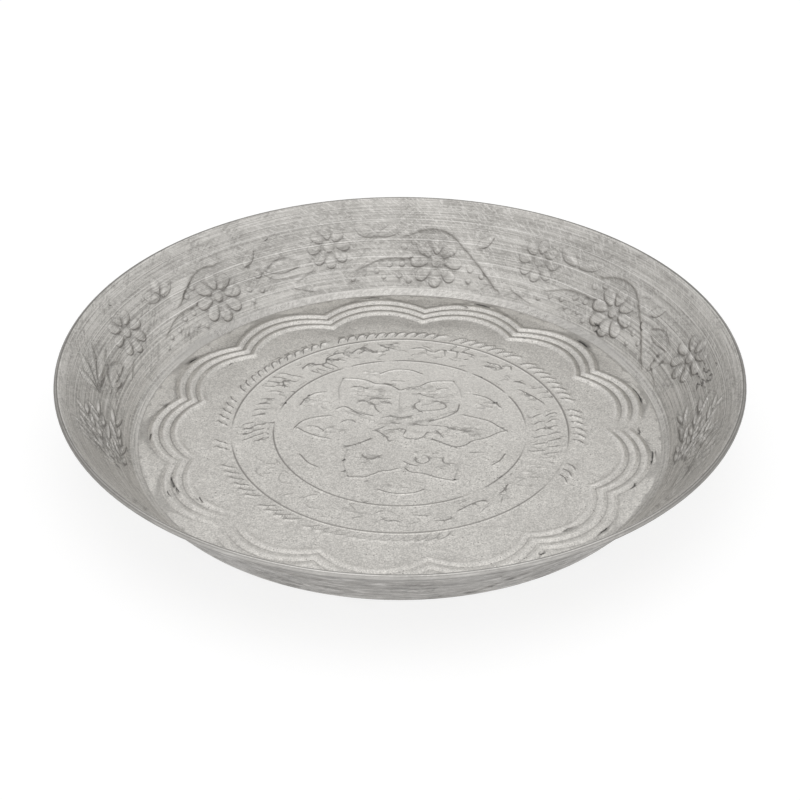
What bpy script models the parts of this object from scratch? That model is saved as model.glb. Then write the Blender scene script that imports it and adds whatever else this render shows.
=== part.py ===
"""Round embossed tray: one spun sheet with a wired rim, on four felt pads.

Metres, +Z up, standing on z = 0 with its axis on the Z axis.
The sheet is turned as its middle surface and then given its thickness, so what is pressed
up on the inside shows as a hollow underneath, as it does in pressed metal.
"""
import math

import bmesh
import bpy

# Overall sizes
RIM_DIAMETER = 0.400        # over the rolled bead
TRAY_DEPTH = 0.0483         # floor to the centre of the bead
FLOOR_RADIUS = 0.1556       # flat floor, to where the bevel begins
BEVEL_WIDTH = 0.0046        # bevel between the floor and the wall, measured outward
BEVEL_RISE = 0.0028
SHEET = 0.0007              # thickness of the metal

# Edge rolled outward and down round a wire
WIRE_DIAMETER = 0.0014
WIRE_GAP = 0.00025          # between the wire and the roll
WIRE_END_GAP = 0.0006       # between the butted ends of the wire
ROLL_SWEEP = math.radians(286)
ROLL_STEPS = 8

# Scalloped border on the floor: parallel ridges that run in round lobes
LOBES = 13
LOBE_STEPS = 8              # facets in one lobe
LOBE_DEPTH = 0.0108         # how far the cusps are drawn in from the tops of the lobes
LOBE_ARC = math.radians(40)     # half of the arc that one lobe follows
BORDER_MARGIN = 0.0084      # plain floor from the bevel to the outer ridge, at the top of a lobe
RIDGES = 3
RIDGE_PITCH = 0.0068
RIDGE_CREST = 0.0018        # width of a ridge's top
RIDGE_HEIGHT = 0.0011
RIDGE_DIP = 0.0001          # height that is left between two ridges

# Ring lines pressed up around the middle of the floor
RING_INSET = 0.0190         # outer ring line to the foot of the border at its cusps
RING_BAND = 0.025           # between the two ring lines
RING_HALF_WIDTH = 0.0013
RING_HEIGHT = 0.0005

# Felt pads, stuck to the plain band between the outer ring line and the border
PAD_COUNT = 4
PAD_THICKNESS = 0.002
PAD_MARGIN = 0.00085        # from the pad to what is pressed on either side
PAD_GLUE = 0.0003           # gap to the sheet
PAD_EDGE = 0.0004           # chamfer round both faces
PAD_SIDES = 24

# Sizes that follow from the ones above
AROUND = LOBES * LOBE_STEPS
HALF_SHEET = SHEET / 2
ROLL_MIDDLE = WIRE_DIAMETER / 2 + WIRE_GAP + HALF_SHEET
FLOOR_MIDDLE = PAD_THICKNESS + PAD_GLUE + HALF_SHEET
BEAD_RADIUS = RIM_DIAMETER / 2 - ROLL_MIDDLE - HALF_SHEET
BEAD_HEIGHT = FLOOR_MIDDLE + HALF_SHEET + TRAY_DEPTH
BEVEL_RADIUS = FLOOR_RADIUS + BEVEL_WIDTH
BEVEL_HEIGHT = FLOOR_MIDDLE + BEVEL_RISE
OUTER_RIDGE = FLOOR_RADIUS - BORDER_MARGIN
INNER_RIDGE = OUTER_RIDGE - (RIDGES - 1) * RIDGE_PITCH
BORDER_OUTSIDE = OUTER_RIDGE + RIDGE_PITCH / 2
BORDER_INSIDE = INNER_RIDGE - RIDGE_PITCH / 2
CUSP_INSIDE = BORDER_INSIDE - LOBE_DEPTH
OUTER_RING = CUSP_INSIDE - RING_INSET
INNER_RING = OUTER_RING - RING_BAND
PAD_BAND_INSIDE = OUTER_RING + RING_HALF_WIDTH
PAD_CIRCLE = (PAD_BAND_INSIDE + CUSP_INSIDE) / 2
PAD_RADIUS = (CUSP_INSIDE - PAD_BAND_INSIDE) / 2 - PAD_MARGIN


def clear_scene():
    for thing in list(bpy.data.objects):
        bpy.data.objects.remove(thing, do_unlink=True)


def make_collection(name):
    collection = bpy.data.collections.new(name)
    bpy.context.scene.collection.children.link(collection)
    return collection


def make_material(name, colour, roughness, metallic):
    material = bpy.data.materials.new(name)
    material.use_nodes = True
    shader = material.node_tree.nodes["Principled BSDF"]
    shader.inputs["Base Color"].default_value = (*colour, 1.0)
    shader.inputs["Roughness"].default_value = roughness
    shader.inputs["Metallic"].default_value = metallic
    return material


def add_object(name, data, collection):
    thing = bpy.data.objects.new(name, data)
    collection.objects.link(thing)
    return thing


def floor_profile():
    """Middle of the sheet from the axis outward: two ring lines, then the ridges."""
    profile = [(0.0, FLOOR_MIDDLE)]
    for ring in (INNER_RING, OUTER_RING):
        profile.append((ring - RING_HALF_WIDTH, FLOOR_MIDDLE))
        profile.append((ring, FLOOR_MIDDLE + RING_HEIGHT))
        profile.append((ring + RING_HALF_WIDTH, FLOOR_MIDDLE))
    profile.append((BORDER_INSIDE, FLOOR_MIDDLE))
    for ridge in range(RIDGES):
        crest = INNER_RIDGE + ridge * RIDGE_PITCH
        if ridge > 0:
            profile.append((crest - RIDGE_PITCH / 2, FLOOR_MIDDLE + RIDGE_DIP))
        profile.append((crest - RIDGE_CREST / 2, FLOOR_MIDDLE + RIDGE_HEIGHT))
        profile.append((crest + RIDGE_CREST / 2, FLOOR_MIDDLE + RIDGE_HEIGHT))
    profile.append((BORDER_OUTSIDE, FLOOR_MIDDLE))
    return profile


def wall_slope():
    """Slope of the straight wall, which runs on smoothly from the top of the bevel into the roll."""
    run = BEAD_RADIUS - BEVEL_RADIUS
    rise = BEAD_HEIGHT - BEVEL_HEIGHT
    return math.atan2(rise, run) + math.asin(ROLL_MIDDLE / math.hypot(run, rise))


def wall_profile():
    """Bevel, straight wall and the roll, as one line with the floor's."""
    profile = [(FLOOR_RADIUS, FLOOR_MIDDLE), (BEVEL_RADIUS, BEVEL_HEIGHT)]
    slope = wall_slope()
    for step in range(ROLL_STEPS + 1):
        angle = slope - ROLL_SWEEP * step / ROLL_STEPS
        radius = BEAD_RADIUS - ROLL_MIDDLE * math.sin(angle)
        profile.append((radius, BEAD_HEIGHT + ROLL_MIDDLE * math.cos(angle)))
    return profile


def turned_mesh(name, profile, collection):
    """Mesh of a profile turned all the way round the Z axis."""
    outline = bpy.data.meshes.new(name)
    points = [(radius, 0.0, height) for radius, height in profile]
    edges = [(index, index + 1) for index in range(len(points) - 1)]
    outline.from_pydata(points, edges, [])
    blank = add_object(name + "_blank", outline, collection)
    spin = blank.modifiers.new("spin", "SCREW")
    spin.steps = AROUND
    spin.render_steps = AROUND
    spin.use_merge_vertices = True
    spin.merge_threshold = 0.00001
    spun = blank.evaluated_get(bpy.context.evaluated_depsgraph_get())
    mesh = bpy.data.meshes.new_from_object(spun)
    mesh.name = name
    bpy.data.objects.remove(blank, do_unlink=True)
    return mesh


def lobe_share(angle):
    """0 at a cusp and 1 at the top of a lobe, along a round arc."""
    across = 2 * (angle * LOBES / (2 * math.pi) % 1) - 1
    edge = math.cos(LOBE_ARC)
    return (math.cos(across * LOBE_ARC) - edge) / (1 - edge)


def draw_in_cusps(mesh):
    """Turns the border's plain rings into lobes."""
    half_facet = RIDGE_PITCH / 4
    for vertex in mesh.vertices:
        radius = math.hypot(vertex.co.x, vertex.co.y)
        if BORDER_INSIDE - half_facet < radius < BORDER_OUTSIDE + half_facet:
            angle = math.atan2(vertex.co.y, vertex.co.x)
            drawn = radius - LOBE_DEPTH * (1 - lobe_share(angle))
            vertex.co.x = drawn * math.cos(angle)
            vertex.co.y = drawn * math.sin(angle)


def make_dish(collection, material):
    mesh = turned_mesh("dish", floor_profile() + wall_profile(), collection)
    draw_in_cusps(mesh)
    mesh.materials.append(material)
    dish = add_object("dish", mesh, collection)
    thicken = dish.modifiers.new("sheet", "SOLIDIFY")
    thicken.thickness = SHEET
    thicken.offset = 0.0
    thicken.use_even_offset = True


def make_rim_wire(collection, material):
    """Wire ring inside the roll, with its two ends butted in the middle of one facet."""
    corners = []
    for step in range(AROUND):
        angle = 2 * math.pi * step / AROUND
        corners.append((BEAD_RADIUS * math.cos(angle), BEAD_RADIUS * math.sin(angle)))
    first = corners[0]
    second = corners[1]
    half_gap = WIRE_END_GAP / 2 / math.dist(first, second)

    def along_facet(share):
        return tuple(start + (end - start) * share for start, end in zip(first, second))

    path = [along_facet(0.5 + half_gap)] + corners[1:] + [first, along_facet(0.5 - half_gap)]
    curve = bpy.data.curves.new("rim_wire", "CURVE")
    curve.dimensions = "3D"
    curve.bevel_depth = WIRE_DIAMETER / 2
    curve.bevel_resolution = 2
    curve.use_fill_caps = True
    curve.materials.append(material)
    line = curve.splines.new("POLY")
    line.points.add(len(path) - 1)
    for point, (x, y) in zip(line.points, path):
        point.co = (x, y, BEAD_HEIGHT, 1.0)
    add_object("rim_wire", curve, collection)


def make_felt_pad(number, collection, material):
    name = f"felt_pad_{number}"
    mesh = bpy.data.meshes.new(name)
    disc = bmesh.new()
    bmesh.ops.create_cone(
        disc,
        cap_ends=True,
        segments=PAD_SIDES,
        radius1=PAD_RADIUS,
        radius2=PAD_RADIUS,
        depth=PAD_THICKNESS,
    )
    disc.to_mesh(mesh)
    disc.free()
    mesh.materials.append(material)
    pad = add_object(name, mesh, collection)
    angle = 2 * math.pi * (number - 0.5) / PAD_COUNT
    pad.location = (PAD_CIRCLE * math.cos(angle), PAD_CIRCLE * math.sin(angle), PAD_THICKNESS / 2)
    chamfer = pad.modifiers.new("soft edge", "BEVEL")
    chamfer.width = PAD_EDGE
    chamfer.segments = 1
    chamfer.limit_method = "ANGLE"


clear_scene()
tray = make_collection("decorative_tray")

embossed_metal = make_material("embossed_metal", (0.55, 0.53, 0.50), 0.55, 0.85)
wire_steel = make_material("wire_steel", (0.42, 0.42, 0.43), 0.4, 1.0)
grey_felt = make_material("grey_felt", (0.06, 0.06, 0.062), 0.95, 0.0)

make_dish(tray, embossed_metal)
make_rim_wire(tray, wire_steel)
for pad_number in range(1, PAD_COUNT + 1):
    make_felt_pad(pad_number, tray, grey_felt)
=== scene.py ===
import math

import bpy
import numpy as np
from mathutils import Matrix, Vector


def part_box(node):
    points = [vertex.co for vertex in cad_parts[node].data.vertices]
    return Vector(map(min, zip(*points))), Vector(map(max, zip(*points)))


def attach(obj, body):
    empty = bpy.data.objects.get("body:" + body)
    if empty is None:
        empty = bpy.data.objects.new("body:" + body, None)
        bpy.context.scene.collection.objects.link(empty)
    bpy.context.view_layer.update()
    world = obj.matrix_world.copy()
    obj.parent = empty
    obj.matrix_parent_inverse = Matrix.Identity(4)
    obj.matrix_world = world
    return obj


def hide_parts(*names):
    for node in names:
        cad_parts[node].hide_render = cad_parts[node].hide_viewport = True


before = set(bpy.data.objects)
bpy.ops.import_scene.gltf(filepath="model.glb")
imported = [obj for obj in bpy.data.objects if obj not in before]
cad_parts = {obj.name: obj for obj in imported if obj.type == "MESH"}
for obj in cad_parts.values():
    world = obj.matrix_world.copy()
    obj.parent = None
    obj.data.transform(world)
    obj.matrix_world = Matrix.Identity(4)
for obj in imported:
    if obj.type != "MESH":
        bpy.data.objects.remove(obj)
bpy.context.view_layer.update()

# Embossed dish, the sheet itself
# One round sheet of soft grey metal, embossed in the flat, then spun to shape with a flat floor,
# a narrow bevel and a flaring wall, and its edge rolled outward round a wire. Sizes in metres.
SHEET = 0.0007
HALF_SHEET = SHEET / 2
FLOOR_MIDDLE = 0.00265          # height of the middle of the sheet
FLOOR_RADIUS = 0.1556
BEVEL_RADIUS = 0.1602           # top of the bevel between floor and wall
BEVEL_HEIGHT = 0.00545
BEAD_RADIUS = 0.19835
BEAD_HEIGHT = 0.0513
ROLL_MIDDLE = 0.0013
ROLL_SWEEP = math.radians(286)
ROLL_ROWS = 12
WALL_ROWS = 10
CREASE_REACH = 0.0005           # how far from a crease its rounding starts
LOBES = 13
AROUND = 12 * LOBES             # columns of faces round the dish
LOBE_DEPTH = 0.0108
LOBE_ARC = math.radians(40)
RIDGES = 3
RIDGE_PITCH = 0.0068
ROWS_A_RIDGE = 6
OUTER_RIDGE = 0.1472
BORDER_INSIDE = 0.1302
BORDER_OUTSIDE = 0.1506
INNER_RING = 0.0754
OUTER_RING = 0.1004
RING_HALF_WIDTH = 0.0014
GRID_RADIUS = 0.067             # middle of the floor, filled with an even grid
MEDALLION_ROWS = (0.0702, 0.0734)
VINE_ROWS = (0.0804, 0.084, 0.0876, 0.0912, 0.0948, 0.0984)
STROKE_ROWS = (0.1054, 0.109, 0.1128)
ROUND_ROW = 0.1164              # last row that the scallops leave round
HALF_DRAWN_ROW = 0.1232
MARGIN_ROW = 0.1534
RIM_RADIUS = 0.2
TINY = 1e-6                     # lengths below this count as nothing

run = BEAD_RADIUS - BEVEL_RADIUS
rise = BEAD_HEIGHT - BEVEL_HEIGHT
SLOPE = math.atan2(rise, run) + math.asin(ROLL_MIDDLE / math.hypot(run, rise))
WALL_FOOT = (BEVEL_RADIUS, BEVEL_HEIGHT)
WALL_TOP = (BEAD_RADIUS - ROLL_MIDDLE * math.sin(SLOPE), BEAD_HEIGHT + ROLL_MIDDLE * math.cos(SLOPE))
WALL_LENGTH = math.dist(WALL_FOOT, WALL_TOP)


def deselect_everything():
    bpy.ops.object.select_all(action="DESELECT")
    bpy.context.view_layer.objects.active = None


def rounded(before, crease, after):
    """Three points that round a crease of the section."""
    ends = []
    for other in (before, after):
        share = CREASE_REACH / math.dist(crease, other)
        ends.append(tuple(a + (b - a) * share for a, b in zip(crease, other)))
    middle = tuple((a + 2 * b + c) / 4 for a, b, c in zip(ends[0], crease, ends[1]))
    return [ends[0], middle, ends[1]]


def sheet_rows():
    """Radius and height of every row of the sheet's middle surface, from the grid to the end of the roll."""
    radii = [*MEDALLION_ROWS]
    for ring, rows_beyond in ((INNER_RING, VINE_ROWS), (OUTER_RING, STROKE_ROWS)):
        radii += [ring + step * RING_HALF_WIDTH / 2 for step in range(-2, 3)]
        radii += rows_beyond
    radii += [ROUND_ROW, HALF_DRAWN_ROW]
    for row in range(RIDGES * ROWS_A_RIDGE + 1):
        radii.append(BORDER_INSIDE + row * RIDGE_PITCH / ROWS_A_RIDGE)
    radii.append(MARGIN_ROW)
    rows = [(radius, FLOOR_MIDDLE) for radius in radii]
    rows += rounded(rows[-1], (FLOOR_RADIUS, FLOOR_MIDDLE), WALL_FOOT)
    rows += rounded((FLOOR_RADIUS, FLOOR_MIDDLE), WALL_FOOT, WALL_TOP)
    for step in range(1, WALL_ROWS):
        share = step / WALL_ROWS
        rows.append(tuple(foot + (top - foot) * share for foot, top in zip(WALL_FOOT, WALL_TOP)))
    for step in range(ROLL_ROWS + 1):
        angle = SLOPE - ROLL_SWEEP * step / ROLL_ROWS
        inward, above = ROLL_MIDDLE * math.sin(angle), ROLL_MIDDLE * math.cos(angle)
        rows.append((BEAD_RADIUS - inward, BEAD_HEIGHT + above))
    return rows


deselect_everything()
bpy.ops.mesh.primitive_circle_add(vertices=AROUND, radius=GRID_RADIUS, location=(0, 0, FLOOR_MIDDLE))
dish = bpy.context.object
dish.name = "embossed_dish"
dish.data.name = "embossed_dish"
bpy.ops.object.transform_apply(location=True, rotation=True, scale=True)
bpy.ops.object.mode_set(mode="EDIT")
bpy.context.tool_settings.mesh_select_mode = (False, True, False)
radius_now, height_now = GRID_RADIUS, FLOOR_MIDDLE
for radius, height in sheet_rows():
    lift = {"value": (0, 0, height - height_now)}
    bpy.ops.mesh.extrude_edges_move(TRANSFORM_OT_translate=lift)
    grow = radius / radius_now
    bpy.ops.transform.resize(value=(grow, grow, 1), center_override=(0, 0, 0))
    radius_now, height_now = radius, height
bpy.ops.mesh.select_all(action="DESELECT")
bpy.ops.object.mode_set(mode="OBJECT")


def read_all(elements, name, width=1, kind=np.int64):
    """One property of all the vertices, edges, faces or corners of a mesh, as rows of a width."""
    values = np.empty(len(elements) * width, dtype=kind)
    elements.foreach_get(name, values)
    return values.reshape(-1, width)


def vertex_places(mesh):
    return read_all(mesh.vertices, "co", 3, float)


def select_only(mesh, kind, chosen):
    """Selects the chosen edges or faces of a mesh, and nothing else."""
    for other in ("vertices", "edges", "polygons"):
        elements = getattr(mesh, other)
        elements.foreach_set("select", chosen if other == kind else np.zeros(len(elements), dtype=bool))


def outward(places):
    return np.hypot(places[:, 0], places[:, 1])


def round_tray(places):
    return np.arctan2(places[:, 1], places[:, 0])


in_grid = outward(vertex_places(dish.data)) < GRID_RADIUS + TINY
edge_ends = read_all(dish.data.edges, "vertices", 2)
select_only(dish.data, "edges", in_grid[edge_ends].all(axis=1))
bpy.ops.object.mode_set(mode="EDIT")
bpy.ops.mesh.fill_grid(span=AROUND // 4)
bpy.ops.mesh.select_all(action="SELECT")
bpy.ops.mesh.normals_make_consistent(inside=False)
bpy.ops.object.mode_set(mode="OBJECT")


def lobe_share(angle):
    """0 at a cusp of the scalloped border and 1 at the top of a lobe."""
    across = 2 * (angle * LOBES / (2 * math.pi) % 1) - 1
    edge = math.cos(LOBE_ARC)
    return (np.cos(across * LOBE_ARC) - edge) / (1 - edge)


# The rows of the border are drawn in at the cusps, and the rows beside it follow part of the way.
places = vertex_places(dish.data)
radius = outward(places)
flat = abs(places[:, 2] - FLOOR_MIDDLE) < TINY
follow_radius = (ROUND_ROW, HALF_DRAWN_ROW, BORDER_INSIDE, BORDER_OUTSIDE, MARGIN_ROW, FLOOR_RADIUS)
follow_share = (0, 0.5, 1, 1, 0.45, 0)
follow = np.interp(radius, follow_radius, follow_share)
draw = np.where(flat, follow, 0) * LOBE_DEPTH * (1 - lobe_share(round_tray(places)))
places[:, :2] *= (1 - draw / np.maximum(radius, TINY))[:, None]
dish.data.vertices.foreach_set("co", places.ravel())

thicken = dish.modifiers.new("thickness", "SOLIDIFY")
thicken.thickness = SHEET
thicken.offset = 0
thicken.use_even_offset = True
bpy.ops.object.modifier_apply(modifier="thickness")

# Embossing dies
# The pattern is cut in steel dies that press it into the sheet: a medallion, a vine, strokes and a
# scalloped border on the floor, and a flower frieze round the wall. It is drawn in millimetres as
# rasters of the height pressed up, the signed distance from the nearest line, and its darkness.
MM = 1000                       # millimetres in a metre
DIE_STEP = 0.25
LINE_REACH = 6.0                # cells this near a line are looked at
FAR_OFF = 3.0                   # longest distance from a line that is kept
LINE_DARK = 2.2                 # distance from a line where its darkness ends
LINE_FADE = 1.2
# Painted shade: the floor's dark lines sit behind the tops of the raised lines, on their far sides, which
# are in shade.
SHADED_SIDE_SHIFT = 0.5                # from the top of a raised line back to its dark line
CURVE_STEPS = 5                 # straight pieces between two points of a curve
FLOOR_REACH = 157.0
die_line = np.arange(-FLOOR_REACH, FLOOR_REACH + DIE_STEP / 2, DIE_STEP)
floor_die = np.zeros((die_line.size, die_line.size))      # rows along y, columns along x
floor_gap = np.full_like(floor_die, FAR_OFF)
floor_tone = np.zeros_like(floor_die)


def smooth_path(points, half_width):
    """Curve through given points, as rows of x, y and half width."""
    points = np.array([tuple(point) if len(point) == 3 else (*point, half_width) for point in points], float)
    if len(points) < 3:
        return points
    padded = np.vstack((2 * points[0] - points[1], points, 2 * points[-1] - points[-2]))
    share = (np.arange(CURVE_STEPS) / CURVE_STEPS)[:, None]
    curve = []
    for before, start, end, after in zip(padded, padded[1:], padded[2:], padded[3:]):
        bend = 2 * before - 5 * start + 4 * end - after
        twist = 3 * start - before - 3 * end + after
        curve.append(0.5 * (2 * start + (end - before) * share + bend * share**2 + twist * share**3))
    return np.vstack((*curve, points[-1:]))


def stretches(path, x, y):
    """For each stretch of a path: its half width, how far off it is, and which places are on its right."""
    for (x0, y0, wide0), (x1, y1, wide1) in zip(path, path[1:]):
        dx, dy = x1 - x0, y1 - y0
        along = np.clip(((x - x0) * dx + (y - y0) * dy) / max(dx * dx + dy * dy, TINY), 0, 1)
        away = np.hypot(x - x0 - along * dx, y - y0 - along * dy)
        yield wide0 + (wide1 - wide0) * along, away, dx * (y - y0) < dy * (x - x0)


def depth_inside(path, x, y):
    """Distance in from the edge of a path that has its own half width, below 0 outside it."""
    return np.max([wide - away for wide, away, on_right in stretches(path, x, y)], axis=0)


def rise_over(depth, edge):
    """0 outside a shape, rising smoothly to 1 over the width of its edge."""
    share = np.clip(depth / edge, 0, 1)
    return share * share * (3 - 2 * share)


def turned_path(points, half_width, turn):
    """Path on the floor, turned round the middle of the tray by an angle."""
    path = smooth_path(points, half_width)
    cos, sin = math.cos(turn), math.sin(turn)
    path[:, :2] = path[:, :2] @ np.array(((cos, sin), (-sin, cos)))
    return path


def box_round(path, margin):
    """Lowest and highest corner of a path with its width and a margin."""
    margin += path[:, 2].max()
    return path[:, :2].min(axis=0) - margin, path[:, :2].max(axis=0) + margin


def floor_window(path, margin):
    """Rows and columns of the floor's rasters round a path, with the places of their cells."""
    low, high = box_round(path, margin)
    columns = slice(*np.searchsorted(die_line, (low[0], high[0])))
    rows = slice(*np.searchsorted(die_line, (low[1], high[1])))
    return (rows, columns), die_line[None, columns], die_line[rows, None]


def press_floor(points, height, half_width=1.0, edge=0.9, turn=0.0):
    """Presses one shape into the floor."""
    path = turned_path(points, half_width, turn)
    window, x, y = floor_window(path, 0)
    pressed = height * rise_over(depth_inside(path, x, y), edge)
    floor_die[window] = np.maximum(floor_die[window], pressed)


def off_line(path, x, y):
    """Distance from the middle of a line, below 0 on its right."""
    nearest = np.full(np.broadcast(x, y).shape, math.inf)
    for wide, away, on_right in stretches(path, x, y):
        away = np.where(on_right, -away, away)
        nearest = np.where(abs(away) < abs(nearest), away, nearest)
    return nearest


def keep_line(gaps, tones, window, gap, tone, reach=LINE_DARK):
    """Keeps the distance from the nearest line in part of a raster, and how dark the line is."""
    gap = np.clip(gap, -FAR_OFF, FAR_OFF)
    gaps[window] = np.where(abs(gap) < abs(gaps[window]), gap, gaps[window])
    tones[window] = np.maximum(tones[window], tone * rise_over(reach - abs(gap), LINE_FADE))


def draw_line(points, height, half_width=1.0, turn=0.0, tone=1.0, reach=LINE_DARK):
    """Presses a rounded line into the floor, with a dark line along its far side, partly patina and partly
    painted shade.
    """
    press_floor(points, height, half_width, half_width, turn)
    path = turned_path(points, half_width, turn)
    window, x, y = floor_window(path, LINE_REACH)
    keep_line(floor_gap, floor_tone, window, off_line(path, x, y - SHADED_SIDE_SHIFT), tone, reach)


def on_circle(radius, degrees):
    return (radius * math.cos(math.radians(degrees)), radius * math.sin(math.radians(degrees)))


def dot(x, y, radius):
    """Path of a round spot."""
    return [(x, y, radius), (x + 0.01, y, radius)]


# Medallion: six ogee petals round a rosette, an arc between each two petals and small flowers.
petal_outlines = [
    [(-17, 14.3), (-26, 18), (-33.5, 24), (-38.5, 21.5)],
    [(-35, 55.3), (-26, 54.5), (-20, 52.5), (-15, 49.1), (-10, 48.5), (-5, 46.5), (0, 41.7)],
    [(0.5, 41.7), (6, 44.7), (12, 46), (17, 50), (23, 51.9), (33, 51.9)],
    [(36, 25.5), (34.5, 19), (30, 14.5), (25, 11.5), (18, 8)],
    [(38, 15), (48, 11.1), (54, 8), (60, 1.5), (63.5, -1.5)],
    [(63.5, -1.5), (59, -3.3), (51, -9), (43, -12.1), (39, -16.1), (34, -18.1), (29, -16.8), (20, -10.5)],
    [(-42, 14.5), (-50, 12.9), (-56, 10.5), (-60, 6.9), (-62.8, 1.9)],
    [(-61, 1.5), (-56, -3.1), (-49, -7.1), (-42, -9.5)],
    [(-33, -17.5), (-26, -15.5), (-18, -10)],
    [(3, -39.5), (6, -43.1), (14, -44.9), (21, -48.5), (31, -51.7)],
    [(-1, -39.5), (-6.5, -41.9), (-11, -42.3), (-16, -45.5), (-21, -48.1), (-30, -47.7)],
]
worn_sides = [
    [(-36.8, 31.5), (-37.5, 43.5), (-35, 55.3)],
    [(33, 51.9), (36.5, 42.5), (37.6, 34.5)],
    [(31, -51.7), (33.4, -41.5), (34.6, -33.5)],
    [(-30, -47.7), (-32.6, -37.5), (-32.4, -28.5), (-31, -21.5)],
]
arcs_between = [
    [(-12, 60.5), (-6, 64.1), (0, 65.3), (7, 64.1), (13.6, 60.1)],
    [(46, 37.1), (53, 33.5), (58, 27.5), (61, 23)],
    [(-60.5, 26), (-57, 33.5), (-52, 38.5), (-46, 40.1)],
    [(61.4, -25.5), (58.5, -31.5), (54, -36)],
    [(-58.4, -26), (-53.6, -33.9), (-47.6, -38.3)],
    [(-12.4, -60.1), (-6, -63.1), (0, -64.1), (8, -63.1), (13.2, -60.3)],
]
# Lines inside the petals, and in the rosette.
inner_lines = [
    [(-5, 52.3), (-1.5, 52.1), (2, 51.7)],
    [(41, -24.1), (45, -23.7), (49, -23.5)],
    [(22, 30.1), (26, 27.7), (28, 23.3), (23, 20.5), (16, 19.5), (12, 19.1)],
    [(12, 19.1), (9.4, 22.5), (9, 26.5), (12, 29.5)],
    [(-18, 28.5), (-16, 26.5), (-14.6, 21.5), (-12.6, 18.1)],
    [(-26, 28.7), (-23, 29.9), (-20.6, 30.1)],
    [(-12, 28.9), (-8.6, 29.3), (-5.6, 27.3)],
    [(-18, 32.5), (-11.6, 32.3), (-6, 32.5)],
    [(-27.6, 46.3), (-24, 45.5), (-20.6, 43.5)],
    [(12, 37.9), (14.6, 35.9), (20.6, 33.5)],
    [(23, 42.5), (26, 43.9), (28.4, 43.7)],
    [(20, 4.1), (28, 2.5), (34, -0.9), (41, -1.9)],
    [(22, -1.5), (24, -5.5), (25.4, -7.9)],
    [(-35, 7.5), (-32.4, 9.7), (-29, 9.5), (-27, 7.9)],
    [(-55, 3.5), (-50, 2.9), (-46, -0.9)],
    [(-22, -26.1), (-19.6, -29.9), (-15.6, -30.5), (-11, -26.5)],
    [(25, -29.5), (25.2, -33.5), (28, -34.9), (31, -34.7)],
    [(9, -29.1), (9.6, -33.1), (13.6, -34.9), (17, -32.1), (16.4, -28.5)],
    [(2, -32.5), (5, -35.1), (9.4, -37.1)],
    [(-16, -1.5), (-12.4, 0.5), (-9, 3.1)],
    [(-14, -1.5), (-10.6, -4.9), (-8, -8.5), (-6.6, -12.5), (-4.6, -11.5)],
    [(-8, -1.1), (-3, -0.1), (0, 0.3), (3.4, -0.7), (2.4, -4.5)],
    [(9, 5.1), (12.6, 4.1), (16, 4.1)],
    [(3, -9.1), (5.4, -10.1), (8, -9.9)],
    [(-10, 12.5), (-6, 13.5), (-2, 12.5), (3, 12.9), (7, 14.3)],
    [(-4, 7.1), (-2, 5.9), (0, 6.3)],
    [(10, -10.5), (14, -7.5), (16, -3.5)],
]
for lines, height, half_width, tone in (
    (petal_outlines, 0.48, 1.15, 1.0),
    (worn_sides, 0.4, 1.15, 0.4),
    (arcs_between, 0.42, 1.1, 1.0),
    (inner_lines, 0.45, 0.95, 0.8),
):
    for points in lines:
        draw_line(points, height, half_width, tone=tone)
# Faint creases between the petals.
for degrees in (30, 90, 150, 210, 330):
    draw_line([(18, 0), (28, 0.4), (38, 0)], 0.25, turn=math.radians(degrees), tone=0.4)


def draw_small_flower(x, y, size, lean):
    """Five small petals round a dot."""
    for petal in range(5):
        angle = lean + 2 * math.pi * petal / 5
        dx, dy = size * math.cos(angle), size * math.sin(angle)
        root = (x + 0.35 * dx, y + 0.35 * dy, 0.17 * size)
        tip = (x + 0.72 * dx, y + 0.72 * dy, 0.3 * size)
        press_floor([root, tip], 0.3, edge=0.8)
    press_floor(dot(x, y, 0.24 * size), 0.35, edge=0.8)


def draw_curl(place, lean, length, bend):
    """One small curled stroke."""
    dx, dy = length * math.cos(lean), length * math.sin(lean)
    x, y = place
    draw_line([(x - dx, y - dy, 0.5), (x - 0.3 * dy, y + bend, 0.9), (x + dx, y + dy, 0.5)], 0.3, tone=0.48)


small_flower_places = [
    (-18, 61.3, 5.2, 0.2), (51, 26.5, 6.2, 0.5), (-48.5, 30, 6.2, 0.9), (-1.5, -54.5, 6.0, 0.3),
    (46.5, -28.5, 5.0, 0.8), (-43, -26.5, 5.0, 0.1), (45, 40.5, 4.2, 0.6), (18, 39.5, 8.5, 0.4),
    (-24, 42.5, 7.0, 0.0), (-11, 35.5, 8.0, 0.9), (43, 3, 6.5, 0.2), (-46, 2.5, 6.0, 0.7),
    (13, -25.5, 6.5, 0.3), (-27, -22.5, 6.5, 0.5), (28, -40.5, 6, 0.8), (-20, -38.5, 6, 0.1),
]
for place in small_flower_places:
    draw_small_flower(*place)

# Rosette in the middle, with a hatched edge on one side.
for petal in range(6):
    angle = math.radians(60 * petal + 28)
    press_floor([(5.5, 1.5, 1.3), (11.5, 1.5, 2.6)], 0.25, edge=0.8, turn=angle)
for step in range(9):
    share = step / 8
    x, y = -5 + 13 * share, 14.1 + 9.4 * share + 1.4 * math.sin(math.pi * share)
    draw_line([(x - 0.9, y + 1.5), (x + 0.9, y - 1.5)], 0.4, 0.62, tone=0.2)
for step in range(5):
    share = step / 4
    x, y = 9.4 + 7 * share, 17.5 - 9 * share
    draw_line([(x, y), (x + 2.6, y + 1)], 0.35, 0.62, tone=0.2)
press_floor(dot(0.5, 2.1, 3.0), 0.35)

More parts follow.
